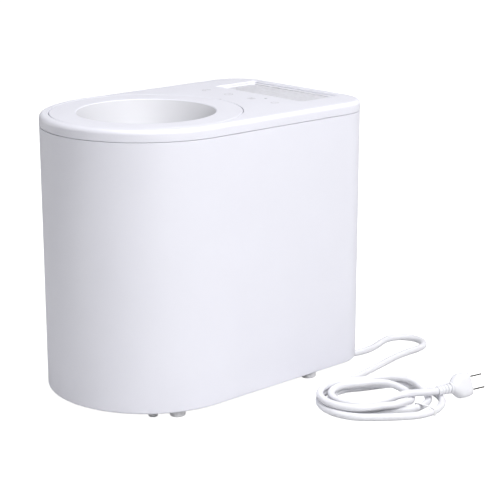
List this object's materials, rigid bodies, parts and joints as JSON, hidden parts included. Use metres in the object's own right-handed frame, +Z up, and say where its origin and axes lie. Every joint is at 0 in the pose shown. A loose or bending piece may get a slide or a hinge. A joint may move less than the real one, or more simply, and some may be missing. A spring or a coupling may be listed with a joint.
{
  "type": "cool mist humidifier",
  "caption": "White tabletop cool mist humidifier with a round funnel outlet in a lift-out tank lid, touch marks, a rear grille, and its mains lead coiled beside it.",
  "frame": {"origin": "centre of the floor area of the body's bounding box, without the mains lead", "axes": "+Z up; +X from the round tank end towards the flat grille end; +Y to the left when looking along +X"},
  "size_m": [0.3918, 0.3467, 0.272],
  "materials": {
    "shell_white": "fine satin",
    "funnel_white": "fine satin",
    "base_white": "satin",
    "foot_rubber": "matte",
    "zinc_steel": "zinc plated",
    "label_foil": "satin foil, blank",
    "mark_grey": "printed, satin",
    "lamp_lens": "frosted",
    "tank_clear": "translucent",
    "seal_rubber": "matte",
    "float_white": "satin",
    "ferrite": "dull",
    "wick_paper": "pleated, absorbent",
    "wick_plastic": "satin",
    "grille_grey": "satin",
    "filter_foam": "open foam",
    "fan_black": "satin",
    "copper_wire": "enamelled copper winding",
    "board_green": "solder mask",
    "spring_steel": "gold plated",
    "core_iron": "laminated core and tape",
    "chip_black": "moulded",
    "terminal_green": "moulded",
    "wire_red": "smooth",
    "wire_brown": "smooth",
    "cord_white": "smooth, soft",
    "tie_white": "smooth",
    "blade_metal": "nickel plated"
  },
  "bodies": {
    "housing_body": {"housing": "shell_white", "base_plate": "base_white", "feet": "foot_rubber", "level_stubs": "foot_rubber", "base_screws": "zinc_steel", "rating_plate": "label_foil", "top_cover": "shell_white", "touch_marks": "mark_grey", "status_lamp": "lamp_lens", "align_dot": "mark_grey", "well_liner": "base_white", "liner_pads": "foot_rubber", "fan_duct": "base_white", "duct_seal": "filter_foam", "fan_frame": "fan_black", "fan_stator": "copper_wire", "fan_screws": "zinc_steel", "touch_board": "board_green", "touch_springs": "spring_steel", "power_board": "board_green", "transformer": "core_iron", "capacitors": "chip_black", "terminal_block": "terminal_green", "board_screws": "zinc_steel", "main_board": "board_green", "board_chips": "chip_black", "level_sensor": "board_green", "fan_wires": "wire_red", "mains_wires": "wire_brown", "cord_gland": "cord_white", "power_cord": "cord_white", "cord_tail": "cord_white", "cord_coil": "cord_white", "cord_tie": "tie_white", "plug_boot": "cord_white", "plug_body": "cord_white", "plug_blades": "blade_metal"},
    "tank_body": {"tank": "tank_clear", "tank_collar": "tank_clear", "tank_seal_ring": "seal_rubber", "float_rod": "base_white"},
    "float_body": {"float": "float_white", "float_magnet": "ferrite"},
    "wick_body": {"wick": "wick_paper", "wick_frame": "wick_plastic"},
    "lid_body": {"tank_lid": "shell_white", "outlet_funnel": "funnel_white"},
    "grille_body": {"inlet_grille": "grille_grey", "dust_filter": "filter_foam"},
    "rotor_body": {"fan_rotor": "fan_black", "fan_shaft": "zinc_steel"}
  },
  "joints": [
    {"name": "tank_lift", "type": "slide", "parent": "housing_body", "child": "tank_body", "axis": [0, 0, 1], "range_m": [0, 0.255]},
    {"name": "wick_lift", "type": "slide", "parent": "tank_body", "child": "wick_body", "axis": [0, 0, 1], "range_m": [0, 0.245]},
    {"name": "lid_lift", "type": "slide", "parent": "wick_body", "child": "lid_body", "axis": [0, 0, 1], "range_m": [0, 0.06]},
    {"name": "float_rise", "type": "slide", "parent": "tank_body", "child": "float_body", "axis": [0, 0, 1], "range_m": [0, 0.088]},
    {"name": "grille_lift", "type": "slide", "parent": "housing_body", "child": "grille_body", "axis": [0, 0, 1], "range_m": [0, 0.03]},
    {"name": "fan_spin", "type": "hinge", "parent": "housing_body", "child": "rotor_body", "pos_m": [0.0685, 0, 0.192], "axis": [1, 0, 0], "continuous": true}
  ]
}
